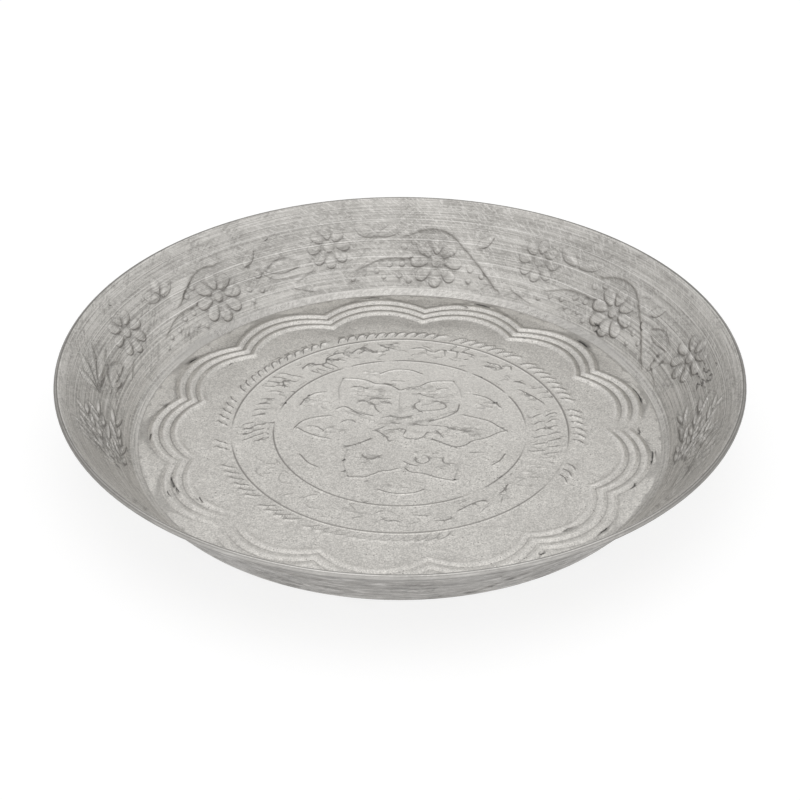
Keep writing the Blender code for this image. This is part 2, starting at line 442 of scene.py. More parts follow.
# Vine between the ring lines, set out by angle and radius.
vine = [
    [(85.1, 89.5), (81.1, 90.9), (76.2, 87.5), (73.3, 91.4), (66.4, 93), (60.5, 93.9)],
    [(29.9, 84.7), (23.9, 88.2), (17.9, 91.4)],
    [(52.6, 91.2), (49.1, 93.1), (46.6, 92.1)],
    [(52.6, 87.2), (49.6, 89.1), (48.2, 89.5)],
    [(46.6, 95.1), (44.6, 97), (43.2, 95)],
    [(35.8, 87.9), (33.8, 89.8), (32.4, 90.8)],
    [(147.1, 84.8), (144.2, 88.9), (142.2, 86.9)],
    [(132.4, 90.5), (127.4, 91)],
    [(127.4, 90.2), (125.8, 86.6), (122.8, 85.9), (120.5, 90.3), (116.6, 91.9), (110.7, 91.4)],
    [(120.5, 88.7), (117.5, 86.5), (115, 83)],
    [(109.7, 89.4), (106.7, 92.4), (103.8, 92.1), (101.4, 88.5)],
    [(106.7, 87.4), (104.4, 89.5)],
    [(101.4, 86.1), (97.9, 85.9), (94.9, 87.5)],
    [(97.3, 93.1), (94.9, 90.5), (92, 88.5)],
    [(94.5, 94.1), (91, 95.3)],
    [(258.8, 85.1), (253.7, 85.4), (248.6, 85.2)],
    [(202.1, 86.4), (200.1, 88.3), (198.1, 88.7)],
    [(304.6, 86.8), (302.5, 84.5), (298.5, 84.3), (292.4, 86.6)],
    [(288.3, 92), (285.2, 92.6), (282.8, 91.7)],
    [(280.2, 85.9), (277.7, 85.3), (275.1, 84.5)],
    [(270, 90.5), (268, 89.1), (265.9, 90.1), (263.9, 88.9)],
    [(317.8, 83), (314.7, 84.9), (311.7, 85.7)],
    [(211.2, 92.2), (208.2, 93.9), (205.6, 92.3)],
    [(221.2, 83), (218.2, 86.1), (215.2, 85.5), (213.1, 82.2)],
    [(239.5, 90.7), (236.5, 92.3), (233.4, 90.8)],
]
for stem in vine:
    strength = 0.5 if 195 < stem[0][0] < 260 else 1.0
    path = [on_circle(radius, degrees) for degrees, radius in stem]
    draw_line(path, 0.2 + 0.3 * strength, 1.0, tone=strength)
leaf_places = [
    (130.4, 90.7, 20, 3.4, 1.5), (79.2, 92.1, 150, 3.2, 1.6), (69.3, 96, 60, 2.2, 0.9),
    (64.4, 97, 60, 2.2, 0.9), (71.3, 88.4, -70, 2.4, 0.9), (66.4, 90, -70, 2.4, 0.9),
    (27.8, 95.1, 75, 2.6, 0.8), (24.2, 95.6, 75, 2.6, 0.8), (20.8, 96.3, 75, 2.4, 0.8),
    (301.5, 91.7, 20, 2.8, 2.4), (232.4, 83.2, 60, 3.4, 1.8), (103.8, 94.9, 30, 2.2, 1.2),
    (110.7, 95, 30, 2.2, 1), (115.6, 94.4, 30, 2.2, 1), (112.6, 88, -60, 2.2, 0.9),
    (97.9, 82.1, 30, 2.2, 0.9), (254.7, 89, 30, 2.4, 1), (250.7, 81.2, -40, 2.4, 1),
    (261.9, 81.5, 40, 2.2, 1), (296.5, 80.1, 10, 2.4, 1), (275.1, 91.5, 20, 2.2, 1),
    (225.3, 90.9, 60, 2.4, 1), (205.1, 82.4, 60, 2.6, 1), (309.6, 90.8, 40, 2.4, 1),
]
for degrees, radius, lean, length, half_width in leaf_places:
    x, y = on_circle(radius, degrees)
    angle = math.radians(degrees - 90 + lean)
    dx, dy = length * math.cos(angle), length * math.sin(angle)
    draw_line([(x - dx, y - dy, 0.5), (x, y, half_width), (x + dx, y + dy, 0.5)], 0.4, tone=0.6)
# Short leaning strokes that stand for leaves where the vine is densest.
stroke_groups = [
    (10, -15, 84, 6), (10, -15, 92, 7), (187, 177, 84.5, 4), (186, 176, 91, 4), (152, 138, 86, 4),
    (150, 140, 93, 4), (130, 121, 81.5, 4), (170, 158, 86.5, 4), (-20, -40, 85, 5), (-18, -38, 92, 4),
]
for first, last, radius, count in stroke_groups:
    for number in range(count):
        degrees = first + (last - first) * number / (count - 1)
        wobble = math.sin(7.0 * number + first)
        high = on_circle(radius + 2.6 + 0.8 * wobble, degrees + 0.7)
        middle = on_circle(radius + 0.4 * wobble, degrees - 0.3 * wobble)
        low = on_circle(radius - 2.8, degrees - 0.9)
        tone = 0.4 if first < -15 else 0.9
        draw_line([(*high, 0.8), (*middle, 1.05), (*low, 0.6)], 0.4, tone=tone)

# Small curled strokes that fill the petals, the rosette and parts of the vine.
chance = np.random.default_rng(11)
filled_petals = [
    (-18, 35, 13, 11, 10), (19, 35, 13, 11, 10), (35, -3, 15, 7, 8), (1, 0, 16, 11, 9), (-38, 2, 14, 6, 5),
    (-20, -28, 11, 9, 7), (18, -30, 12, 10, 8), (0, -54, 12, 6, 4), (50, 27, 8, 7, 5), (-50, 29, 9, 7, 5),
]
for x, y, wide, high, count in filled_petals:
    for number in range(count):
        turn, reach = chance.uniform(0, 2 * math.pi), math.sqrt(chance.uniform(0.02, 1))
        place = (x + wide * reach * math.cos(turn), y + high * reach * math.sin(turn))
        draw_curl(place, chance.uniform(-0.5, 0.5), chance.uniform(1.2, 2.6), chance.uniform(-1.3, 1.3))
filled_stretches = [
    (60, 132, 22), (14, 58, 12), (-40, 14, 12), (138, 190, 14), (196, 258, 5), (260, 318, 12),
]
for first, last, count in filled_stretches:
    for number in range(count):
        degrees = first + (last - first) * (number + chance.uniform(0, 1)) / count
        place = on_circle(chance.uniform(79.5, 96.5), degrees)
        draw_curl(place, chance.uniform(-0.6, 0.6), chance.uniform(1.1, 2.4), chance.uniform(-1.2, 1.2))
# Finer hatching in the two upper petals, the right one and the rosette, each with its own lean.
hatch_chance = np.random.default_rng(5)
hatched_petals = [(-18, 36, 12, 9, 0.1), (20, 34, 12, 10, 0.35), (34, -3, 14, 6, -0.2), (2, 9, 12, 5, 0.2)]
for x, y, wide, high, lean in hatched_petals:
    for number in range(9):
        place = (x + wide * hatch_chance.uniform(-1, 1), y + high * hatch_chance.uniform(-1, 1))
        draw_curl(place, lean + hatch_chance.uniform(-0.2, 0.2), hatch_chance.uniform(1.4, 2.4), 0.3)

# Row of leaning strokes outside the vine, with gaps where they are worn away.
STROKES = 104
stroke_gaps = [
    (70, 76), (43, 46), (11, 15.5), (113, 117), (157, 161), (178, 184), (193, 198), (219, 224), (236, 241),
    (284, 329), (340, 350),
]
for number in range(STROKES):
    degrees = 360 * number / STROKES
    if any(start < degrees < end for start, end in stroke_gaps):
        continue
    worn_share = math.exp(-(((degrees - 262) / 24) ** 2))
    short_share = math.exp(-(((degrees - 120) / 40) ** 2))
    lean_share = 1 - 0.5 * math.cos(math.radians(degrees)) ** 4 - 0.2 * short_share
    outer = on_circle(109.4 - 1.5 * worn_share - 2.2 * short_share, degrees - 1.9 * lean_share)
    middle = on_circle(107, degrees + 0.2)
    inner = on_circle(104, degrees + 1.7 * lean_share)
    stroke = [(*outer, 1.5), (*middle, 1.4), (*inner, 0.9)]
    draw_line(stroke, 0.75 - 0.35 * worn_share, tone=1 - 0.6 * worn_share)

# Two ring lines, and the three parallel ridges of the scalloped border.
across, down = die_line[None, :], die_line[:, None]
die_radius = np.hypot(across, down)
die_angle = np.arctan2(down, across)


def near_angle(degrees, spread):
    """1 at an angle round the tray, falling to 0 over a spread of degrees."""
    away = (np.degrees(die_angle) - degrees + 180) % 360 - 180
    return np.exp(-((away / spread) ** 2))


def draw_ring(radius, height, half_width, worn):
    gap = die_radius - MM * radius
    np.maximum(floor_die, height * (1 - worn) * rise_over(half_width - abs(gap), half_width), out=floor_die)
    keep_line(floor_gap, floor_tone, np.s_[:, :], gap, 1 - worn)


ring_gaps = ((95.5, 3), (55, 2), (30, 2), (116, 2.8), (-6, 14), (170, 9), (-55, 6))
draw_ring(INNER_RING, 0.45, 1.15, np.clip(sum(near_angle(*place) for place in ring_gaps), 0, 0.92))
outer_worn = 0.85 * near_angle(183, 9) + 0.8 * near_angle(-15, 9) + 0.6 * near_angle(-30, 7)
draw_ring(OUTER_RING, 0.5, 1.25, np.clip(outer_worn, 0, 0.9))
drawn_radius = die_radius + MM * LOBE_DEPTH * (1 - lobe_share(die_angle))
in_border = (drawn_radius > MM * BORDER_INSIDE) & (drawn_radius < MM * BORDER_OUTSIDE)
ridges = 0.5 + 0.5 * np.cos(2 * math.pi * (drawn_radius - MM * OUTER_RIDGE) / (MM * RIDGE_PITCH))
# The border is worn at a few places, and low on the near side.
worn_places = [
    (0.75, 1.5, 4), (0.8, 222, 7), (0.5, 155, 4), (0.4, 195, 5), (0.6, -88, 9), (0.45, -116, 7),
    (0.35, -33, 6),
]
worn = sum(share * near_angle(degrees, spread) for share, degrees, spread in worn_places)
worn = np.clip(np.maximum(worn, np.interp(down, (-135, -70, 10), (0.45, 0.15, 0))), 0, 1)
floor_die += 1.05 * (1 - worn) * np.where(in_border, ridges, 0)
for step, tone in ((-1.5, 0.65), (-0.5, 0.65), (0.5, 0.55)):
    gap = drawn_radius - MM * (OUTER_RIDGE + step * RIDGE_PITCH)
    tone = np.interp(down, (-120, -60), (0.8, tone))
    keep_line(floor_gap, floor_tone, np.s_[:, :], gap, tone * (1 - worn))
# Two thin lines on the margin, and all lines fainter on the near side.
for radius in (153.4, 155.4):
    keep_line(floor_gap, floor_tone, np.s_[:, :], die_radius - radius, 0.55)
floor_tone *= np.interp(down, (-110, 0), (0.85, 1))

# Black worn dashes on the ridges, and black spots.
worn_dashes = [
    (70.7, 67.2, 151.2), (41, 37.9, 149.5), (16.5, 11.2, 149.9), (151.3, 149.1, 149.5),
    (171, 169.4, 143.6), (97.9, 95.5, 151.9), (-9, -13.4, 150.3), (-0.4, -2, 142.6),
    (-22.3, -23.9, 145.4), (-39.6, -42.6, 149.8), (-56.3, -57.3, 142.3), (-44.4, -46.2, 135.1),
    (207.1, 205.1, 147.1), (206.5, 200.4, 141), (212.9, 210.9, 133.2), (184.4, 182, 147.9),
    (146.4, 145.4, 127.8), (52.8, 51.8, 128.2), (74.2, 72.2, 145.4), (62.3, 60.9, 144.9),
]
for first, last, radius in worn_dashes:
    middle = on_circle(radius + 0.3, (first + last) / 2)
    dash = [on_circle(radius, first), middle, on_circle(radius - 0.4, last)]
    draw_line(dash, 0.15, 0.9, tone=1.6, reach=1.4)
black_spots = [
    (-65.5, 40.3), (-70, 27), (-77, 7), (-44.5, 75.5), (50, 56.5), (38.5, 69), (41.5, 76.7), (60.5, 1.5),
    (-33, -31.5), (-33, -42.5), (-19, -52), (32, -51), (57.5, -48.5), (-20, -72), (-55, 36.5), (58, 28.5),
]
for x, y in black_spots:
    draw_line([(x - 0.6, y), (x + 0.6, y + 0.2)], 0.2, 1.0, tone=2.0, reach=1.5)

# Wall frieze, set out on the wall laid flat: millimetres to the right along the wall, as seen from
# inside the tray, and millimetres up the slope from a line just above the bevel.
WALL_STEP = 0.3
WALL_COLUMNS = 3768
FRIEZE_FOOT = 1.9
WALL_LOWEST = -1.5
WALL_HIGHEST = 60.3
wall_up = np.arange(WALL_LOWEST, WALL_HIGHEST, WALL_STEP)
wall_die = np.zeros((wall_up.size, WALL_COLUMNS))
wall_gap = np.full_like(wall_die, FAR_OFF)
wall_tone = np.zeros_like(wall_die)
wall_shade = np.zeros_like(wall_die)
COLUMN_TURN = 2 * math.pi / WALL_COLUMNS


def wall_radius(up):
    return MM * (WALL_FOOT[0] - HALF_SHEET * math.sin(SLOPE)) + up * math.cos(SLOPE)


def wall_window(centre, path, margin):
    """Cells of the wall's rasters round a path, and their places from an angle round the tray."""
    low, high = box_round(path, margin)
    rows = np.arange(*np.searchsorted(wall_up, (low[1], high[1])))
    reach = sorted(centre - across / wall_radius(0) for across in (low[0], high[0]))
    columns = np.arange(math.floor(reach[0] / COLUMN_TURN), math.ceil(reach[1] / COLUMN_TURN) + 1)
    up = wall_up[rows][:, None]
    right = (centre - columns[None, :] * COLUMN_TURN) * wall_radius(up)
    return np.ix_(rows, columns % WALL_COLUMNS), right, up


def wall_path(points, half_width=0.0):
    path = smooth_path(points, half_width)
    path[:, 1] += FRIEZE_FOOT
    return path


def darken_wall_spot(centre, spot, strength, edge):
    """Darkens a round spot of the wall, less so towards its edge."""
    path = wall_path(spot)
    window, right, up = wall_window(centre, path, 0)
    spot_darkness = strength * rise_over(depth_inside(path, right, up), edge)
    wall_shade[window] = np.maximum(wall_shade[window], spot_darkness)


def press_shape(centre, points, height, edge, lean=0.0, side=1):
    """Presses one shape into the wall, lower towards its top if it leans, with a line round its edge."""
    path = wall_path(points)
    window, right, up = wall_window(centre, path, LINE_REACH)
    depth = depth_inside(path, right, up)
    share = np.clip((up - path[:, 1].min()) / max(np.ptp(path[:, 1]), 1.0), 0, 1)
    wall_die[window] = np.maximum(wall_die[window], height * (1 - lean * share) * rise_over(depth, edge))
    keep_line(wall_gap, wall_tone, window, side * depth, 1.0)


def press_step(centre, points, height, edge, reach):
    """Presses up a soft swelling above a line along the wall, which drops off steeply below the line."""
    path = wall_path(points)
    window, right, up = wall_window(centre, path, reach + 1)
    gap = off_line(path, right, up)
    swelling = np.where(gap > 0, rise_over(reach - gap, reach), rise_over(edge + gap, edge))
    wall_die[window] = np.maximum(wall_die[window], height * swelling)
    keep_line(wall_gap, wall_tone, window, gap + 0.6 * edge, 0.38)


def press_flower(centre, up, root, tip, half_width, boss, height):
    """Eight flat petals round a boss. Their lines count from alternate sides."""
    for petal in range(8):
        angle = math.radians(45 * petal)
        cos, sin = math.cos(angle), math.sin(angle)
        outline = []
        for reach, wide in ((root + 2.2, 0.55), (0.5 * (root + tip) - 0.5, 0.9), (tip - half_width, 0.95)):
            outline.append((reach * cos, up + reach * sin, wide * half_width))
        press_shape(centre, outline, height, 1.8, lean=0.4, side=1 - 2 * (petal % 2))
    press_shape(centre, dot(0, up, boss), 0.65 * height, 1.6)


def press_leaf(centre, x, y, lean, length, half_width, height):
    """Pointed leaf that grows from its stalk end in the direction of its lean."""
    dx, dy = length * math.cos(math.radians(lean)), length * math.sin(math.radians(lean))
    outline = [(x, y, 0.6), (x + 0.35 * dx, y + 0.35 * dy, 0.9 * half_width)]
    outline += [(x + 0.6 * dx, y + 0.6 * dy, half_width), (x + dx, y + dy, 0.6)]
    press_shape(centre, outline, height, half_width, lean=0.4)


def press_spray(centre, up, lean, height):
    """Bunch of five stalks that spread from one foot, with narrow leaves to both sides of each."""
    foot = -26 if lean < 90 else 26
    for stalk in (-2, -1, 0, 1, 2):
        stalk_lean = lean - 16 * stalk
        for step in range(5):
            reach = 10 + 9 * step + chance.uniform(-2, 2)
            x = foot + reach * math.cos(math.radians(stalk_lean)) + chance.uniform(-1, 1)
            y = up - 12 + reach * math.sin(math.radians(stalk_lean)) + chance.uniform(-1, 1)
            for side in (-1, 1):
                turn = stalk_lean + side * chance.uniform(8, 32)
                length = chance.uniform(12, 18)
                if -1 < y < 36:
                    press_leaf(centre, x, y, turn, length, 1.8, height)


right_arch = [
    (-20, 34.2), (-14, 37), (-8, 38.7), (-2, 39.2), (6, 37.8), (13, 33.4), (17.5, 29.2), (22, 25),
    (28.3, 19), (34, 13.2), (42, 4.6),
]
left_arch = [(-29, 24.5), (-22, 30), (-14, 35), (-8, 37.5), (-1, 38.5), (7, 37)]
lower_stem = [(-52, 12), (-46, 14.6), (-38.8, 17.5), (-30.6, 18.8), (-18.4, 18.5)]
berries = [
    (-22, 26, 2.4), (-15.3, 29, 2.1), (-30.6, 14, 2), (-22.4, 14.3, 2), (-47, 9, 1.7), (-38.8, 9.8, 1.8),
    (-54, 5.5, 1.7), (-33.7, 6, 1.7), (-23.5, 6.3, 1.8), (-17, 3, 1.8), (23, 13.5, 2.2), (22.4, 6, 1.9),
    (31, 10, 1.8),
]
# Angle of each flower, and how strongly its part of the frieze is pressed.
large_flowers = ((133, 1.35), (82, 1.05), (38, 1.6), (-62, 1.2), (-113, 1.2))
small_flowers = ((159, 1.3), (105.3, 1), (59.5, 0.9), (12, 1.5), (-37, 1.3), (-88, 1), (-142, 1.3))
FANNED = 133                    # the large flower whose arch is on its left, with a fan of leaves
RAISED = 159                    # the small flower that sits higher
LEAFLESS = 59.5                 # the small flower whose leaf is worn away
for degrees, press in large_flowers:
    centre = math.radians(degrees)
    press_flower(centre, 16.2, 5.2, 17.3, 3.6 + 0.55 * press, 3.3, 0.43 * press)
    press_step(centre, left_arch if degrees == FANNED else right_arch, 0.75, 2.4, 9.0)
    press_step(centre, lower_stem, 0.5, 1.6, 5.0)
    for x, y, radius in berries:
        press_shape(centre, dot(x, y, radius), 0.28, 1.6)
    leaves = ((150, 15), (90, 15), (32, 15)) if degrees == FANNED else ((153, 18), (22, 20))
    for lean, length in leaves:
        press_leaf(centre, -41, 33, lean, length, 3.8, 0.6 * press)
    press_shape(centre, [(26, 28, 0.6), (31.5, 32.5, 3.2), (38, 38, 0.6)], 0.45, 1.8)
    press_step(centre, [(53, 6), (60, 3), (66, 1)], 0.35, 1.4, 4.0)
    darken_wall_spot(centre, dot(-4, 18, 27), 1.0, 18)
for degrees, press in small_flowers:
    centre = math.radians(degrees)
    up = 30.5 if degrees == RAISED else 28.5
    press_flower(centre, up, 4.8, 11.5 + 3.2 * press, 3.7, 3.5, 0.42 * press)
    darken_wall_spot(centre, dot(0, 28, 20), 0.6, 14)
    if degrees == LEAFLESS:
        continue
    press_step(centre, [(-46, 22), (-40, 26.5), (-32, 28), (-24.5, 25)], 0.25, 1.4, 4.0)
    press_step(centre, [(-46, 19.5), (-39, 15), (-27.5, 14), (-14, 15)], 0.4, 1.4, 4.0)
    press_step(centre, [(-24, 10.5), (-18, 13), (-14, 15)], 0.35, 1.4, 3.0)
    press_shape(centre, [(-44, 20.8, 0.8), (-34, 21.4, 4.4), (-22, 19.5, 0.8)], 0.35, 1.6)
    press_shape(centre, dot(-51, 21, 2.8), 0.3, 1.6)
# A spray on each side, a fan of leaves in front of it, and two leaves by themselves.
for degrees, lean in ((192.5, 36), (-11, 144)):
    press_spray(math.radians(degrees), 19, lean, 0.9)
for degrees, right in ((179, 1), (-26, -1)):
    for lean, length in ((14, 42), (30, 38), (50, 29), (78, 20)):
        press_leaf(math.radians(degrees), 0, 26, 90 - right * (90 - lean), length, 4.0, 1.0)
press_leaf(math.radians(173), -6, 16, 20, 18, 4.5, 0.7)
press_leaf(math.radians(20), 0, 2, 75, 20, 3.2, 0.6)
# Lines are dark along the lower edges, and faint along the upper ones: painted shade on the edges that face
# down, away from the light.
reach_rows = round(1.2 / WALL_STEP)
steepness = np.zeros_like(wall_die)
steepness[reach_rows:-reach_rows] = wall_die[2 * reach_rows:] - wall_die[:-2 * reach_rows]
wall_tone *= 0.35 + 0.65 * np.clip(steepness / 0.3, 0, 1)
# Black spots on the wall, most of them in one cluster on the right.
black_places = [(39.7, 4.4), (40.4, 5.0), (38.8, 4.0), (39.4, 0.6), (158, 50), (133, 51), (118, 41)]
CLUSTER_SPOTS = 24
for number in range(CLUSTER_SPOTS):
    black_places.append((chance.normal(3.4, 2.2), chance.normal(32, 5.5)))
for degrees, height in black_places:
    spot = [(-0.5, height), (chance.uniform(0.2, 1.2), height + chance.uniform(-0.8, 0.8))]
    path = wall_path(spot, 1.0)
    window, right, up = wall_window(math.radians(degrees), path, LINE_REACH)
    wall_die[window] = np.maximum(wall_die[window], 0.2 * rise_over(depth_inside(path, right, up), 1.0))
    keep_line(wall_gap, wall_tone, window, off_line(path, right, up), chance.uniform(1.1, 1.5), 1.5)

# Pressing the sheet
# The sheet takes up the dies' heights on both its faces, so the pattern shows raised inside the tray
# and sunk outside. Faces are divided only where the pattern needs it, more finely on the inside.
NEAR_FLOOR = 0.0005             # how far from the middle of the sheet its two faces are looked for
NEAR_WALL = 0.0006
PAST_WALL = 0.0002              # how far past its ends the wall is still pressed
PAST_FLOOR = 1e-5


def read_raster(raster, row, column):
    """Height at fractional rows and columns, between the four points round each place."""
    row0 = np.clip(np.floor(row).astype(int), 0, raster.shape[0] - 2)
    column0 = np.clip(np.floor(column).astype(int), 0, raster.shape[1] - 2)
    down = np.clip(row - row0, 0, 1)
    right = np.clip(column - column0, 0, 1)
    near = raster[row0, column0] * (1 - right) + raster[row0, column0 + 1] * right
    far = raster[row0 + 1, column0] * (1 - right) + raster[row0 + 1, column0 + 1] * right
    return near * (1 - down) + far * down


def along_wall(places):
    """Distance up the wall and off its middle, both in metres."""
    out = outward(places) - WALL_FOOT[0]
    above = places[:, 2] - WALL_FOOT[1]
    up = out * math.cos(SLOPE) + above * math.sin(SLOPE)
    return up, above * math.cos(SLOPE) - out * math.sin(SLOPE)


def where_pressed(places):
    """Which points are on the flat floor, and which on the straight wall."""
    up, off = along_wall(places)
    on_wall = (up > -PAST_WALL) & (up < WALL_LENGTH + PAST_WALL) & (abs(off) < NEAR_WALL)
    near_floor = abs(places[:, 2] - FLOOR_MIDDLE) < NEAR_FLOOR
    return near_floor & (outward(places) < FLOOR_RADIUS + PAST_FLOOR), on_wall


def read_dies(places, floor_raster, wall_raster):
    """Reads the two rasters at points of the sheet, which need not be vertices."""
    on_floor, on_wall = where_pressed(places)
    up, off = along_wall(places)
    values = np.zeros(len(places))
    rows = (MM * places[on_floor, 1] + FLOOR_REACH) / DIE_STEP
    columns = (MM * places[on_floor, 0] + FLOOR_REACH) / DIE_STEP
    values[on_floor] = read_raster(floor_raster, rows, columns)
    rows = (MM * up[on_wall] - WALL_LOWEST) / WALL_STEP
    columns = (round_tray(places)[on_wall] % (2 * math.pi)) / COLUMN_TURN
    joined = np.hstack((wall_raster, wall_raster[:, :1]))
    values[on_wall] = read_raster(joined, rows, columns)
    return values


def faces_with(mesh, corners):
    """Numbers of the faces with so many corners, and their corner vertices."""
    faces = np.flatnonzero(read_all(mesh.polygons, "loop_total") == corners)
    starts = read_all(mesh.polygons, "loop_start")[faces]
    return faces, read_all(mesh.loops, "vertex_index").ravel()[starts + np.arange(corners)]


fifths = np.linspace(0, 1, 6)
four_spread = [((1 - u) * (1 - v), u * (1 - v), u * v, (1 - u) * v) for u in fifths for v in fifths]
three_spread = [(1 - u - v, u, v) for u in fifths for v in fifths if u + v < 1 + TINY]
FLOOR_MISS = 0.055              # millimetres that a face may miss the die by
WALL_MISS = 0.075
OUTSIDE_MISS = 0.27
SHORTEST_EDGE = 0.0014
TIMES_DIVIDED = 3
bpy.context.tool_settings.mesh_select_mode = (False, False, True)
for level in range(TIMES_DIVIDED):
    mesh = dish.data
    places = vertex_places(mesh)
    chosen = np.zeros(len(mesh.polygons), dtype=bool)
    for corners, spread in ((4, np.array(four_spread)), (3, np.array(three_spread))):
        faces, ids = faces_with(mesh, corners)
        if faces.size == 0:
            continue
        points = np.einsum("sk,nkc->nsc", spread, places[ids])
        true = read_dies(points.reshape(-1, 3), floor_die, wall_die).reshape(len(faces), -1)
        straight = read_dies(places, floor_die, wall_die)[ids] @ spread.T
        miss = abs(true - straight).max(axis=1)
        middle = places[ids].mean(axis=1)
        up, off = along_wall(middle)
        on_floor, on_wall = where_pressed(middle)
        inside = np.where(on_floor, middle[:, 2] > FLOOR_MIDDLE, off > 0)
        longest = np.linalg.norm(places[ids] - places[np.roll(ids, 1, axis=1)], axis=2).max(axis=1)
        allowed = np.where(inside, np.where(on_wall, WALL_MISS, FLOOR_MISS), OUTSIDE_MISS)
        least = np.where(inside, SHORTEST_EDGE, 2 * SHORTEST_EDGE)
        chosen[faces] = (on_floor | on_wall) & (miss > allowed) & (longest > least)
    select_only(mesh, "polygons", chosen)
    bpy.ops.object.mode_set(mode="EDIT")
    bpy.ops.mesh.subdivide(number_cuts=1, ngon=False, quadcorner="INNERVERT")
    bpy.ops.mesh.select_all(action="DESELECT")
    bpy.ops.object.mode_set(mode="OBJECT")

places = vertex_places(dish.data)
sheet_places = places.copy()
on_floor, on_wall = where_pressed(places)
up, off = along_wall(places)
angle = round_tray(places)
pressed = read_dies(places, floor_die, wall_die) / MM
side = np.where(places[:, 2] > FLOOR_MIDDLE, HALF_SHEET, -HALF_SHEET)
places[on_floor, 2] = (FLOOR_MIDDLE + side + pressed)[on_floor]
lift = np.where(off > 0, HALF_SHEET, -HALF_SHEET) + pressed
out = WALL_FOOT[0] + up * math.cos(SLOPE) - lift * math.sin(SLOPE)
above = WALL_FOOT[1] + up * math.sin(SLOPE) + lift * math.cos(SLOPE)
moved = np.stack((out * np.cos(angle), out * np.sin(angle), above), axis=1)
places[on_wall] = moved[on_wall]
dish.data.vertices.foreach_set("co", places.ravel())
dish.data.update()
bpy.ops.object.shade_smooth_by_angle(angle=math.radians(50))

# Finish of the dish
# Bare grey metal, dull and finely grained on the floor, with turning marks round the wall, a burnished
# bevel, dark patina in the drawn lines and black worn dashes on the ridges. The colour also holds painted
# light: painted shade in hollows, on the shaded sides of lines, on the far and side walls, on the outside
# and round the roll, and painted highlights at the back of the floor, the far bevel, the front of the roll
# and high parts of the pattern.
BLUR_CELLS = 10


def blurred(raster, reach):
    """Mean over a square of cells round each cell."""
    size = 2 * reach + 1
    for axis in (0, 1):
        margin = [(reach + 1, reach) if each == axis else (0, 0) for each in (0, 1)]
        sums = np.pad(raster, margin, mode="edge").cumsum(axis=axis)
        count = sums.shape[axis]
        upper = np.take(sums, range(size, count), axis)
        lower = np.take(sums, range(count - size), axis)
        raster = (upper - lower) / size
    return raster


def hollow_shade_and_highlight(die, dull, dull_depth, bright, bright_height):
    """Above 0 in the hollows beside a pattern, darker there as patina and painted shade, and below 0 on its
    high parts, worn bright by rubbing and given a painted highlight.
    """
    depth = blurred(die, BLUR_CELLS) - die
    return dull * np.clip(depth / dull_depth, 0, 1) + bright * np.clip(depth / bright_height, -1, 0)


# Where the finishes lie, kept on the points of the mesh.
section_radius = (0, FLOOR_RADIUS, BEVEL_RADIUS, WALL_TOP[0])
section_height = (FLOOR_MIDDLE, FLOOR_MIDDLE, BEVEL_HEIGHT, WALL_TOP[1])
is_outside = sheet_places[:, 2] < np.interp(outward(sheet_places), section_radius, section_height)
wall_shade += hollow_shade_and_highlight(wall_die, 0.6, 0.2, 0.8, 0.3)
# Painted shade: the floor is darker just inside the far lobes of the border.
floor_shade = rise_over(drawn_radius - 112, 14) * rise_over(MM * BORDER_INSIDE + 1 - drawn_radius, 1.5)
floor_shade *= near_angle(90, 40)
floor_shade += hollow_shade_and_highlight(floor_die, 0.35, 0.25, 0.5, 0.35)
masks = {
    "line_gap": read_dies(sheet_places, floor_gap, wall_gap),
    "line_tone": read_dies(sheet_places, floor_tone, wall_tone),
    "shade": read_dies(sheet_places, floor_shade, wall_shade),
    "outside": is_outside,
}
for name, values in masks.items():
    layer = dish.data.attributes.new(name, "FLOAT", "POINT")
    layer.data.foreach_set("value", values.astype(np.float32))


def place_node(tree, kind, values=None, **settings):
    """New node whose inputs are set to values, or linked where the value is another node's socket."""
    node = tree.nodes.new(kind)
    for name, value in settings.items():
        setattr(node, name, value)
    for name, value in (values or {}).items():
        if isinstance(value, bpy.types.NodeSocket):
            tree.links.new(value, node.inputs[name])
        else:
            node.inputs[name].default_value = value
    return node


def math_node(tree, operation, *values):
    return place_node(tree, "ShaderNodeMath", dict(enumerate(values)), operation=operation).outputs[0]


def product(tree, *factors):
    result = factors[0]
    for factor in factors[1:]:
        result = math_node(tree, "MULTIPLY", result, factor)
    return result


def distance_from(tree, value, place):
    return math_node(tree, "ABSOLUTE", math_node(tree, "SUBTRACT", value, place))


def range_node(tree, value, low, high, start=0.0, end=1.0):
    """Runs smoothly from start to end as the value goes from low to high."""
    values = {"Value": value, "From Min": low, "From Max": high, "To Min": start, "To Max": end}
    return place_node(tree, "ShaderNodeMapRange", values, interpolation_type="SMOOTHSTEP").outputs["Result"]


def mix_colour(tree, share, first, second, blend="MIX"):
    node = place_node(tree, "ShaderNodeMix", data_type="RGBA", blend_type=blend)
    for socket, value in ((node.inputs[0], share), (node.inputs[6], first), (node.inputs[7], second)):
        if isinstance(value, bpy.types.NodeSocket):
            tree.links.new(value, socket)
        else:
            socket.default_value = value
    return node.outputs[2]


def coat(tree, base, colour, *shares):
    """Lays a colour over the base, as thickly as the product of its shares."""
    return mix_colour(tree, product(tree, *shares), base, (*colour, 1))


def noise(tree, vector, scale, detail, roughness=0.5, distortion=0.0):
    values = {"Vector": vector, "Scale": scale, "Detail": detail, "Roughness": roughness}
    values["Distortion"] = distortion
    return place_node(tree, "ShaderNodeTexNoise", values).outputs["Fac"]


def raise_surface(tree, shader, height, strength, distance):
    bump = place_node(tree, "ShaderNodeBump", {"Height": height, "Strength": strength, "Distance": distance})
    tree.links.new(bump.outputs[0], shader.inputs["Normal"])


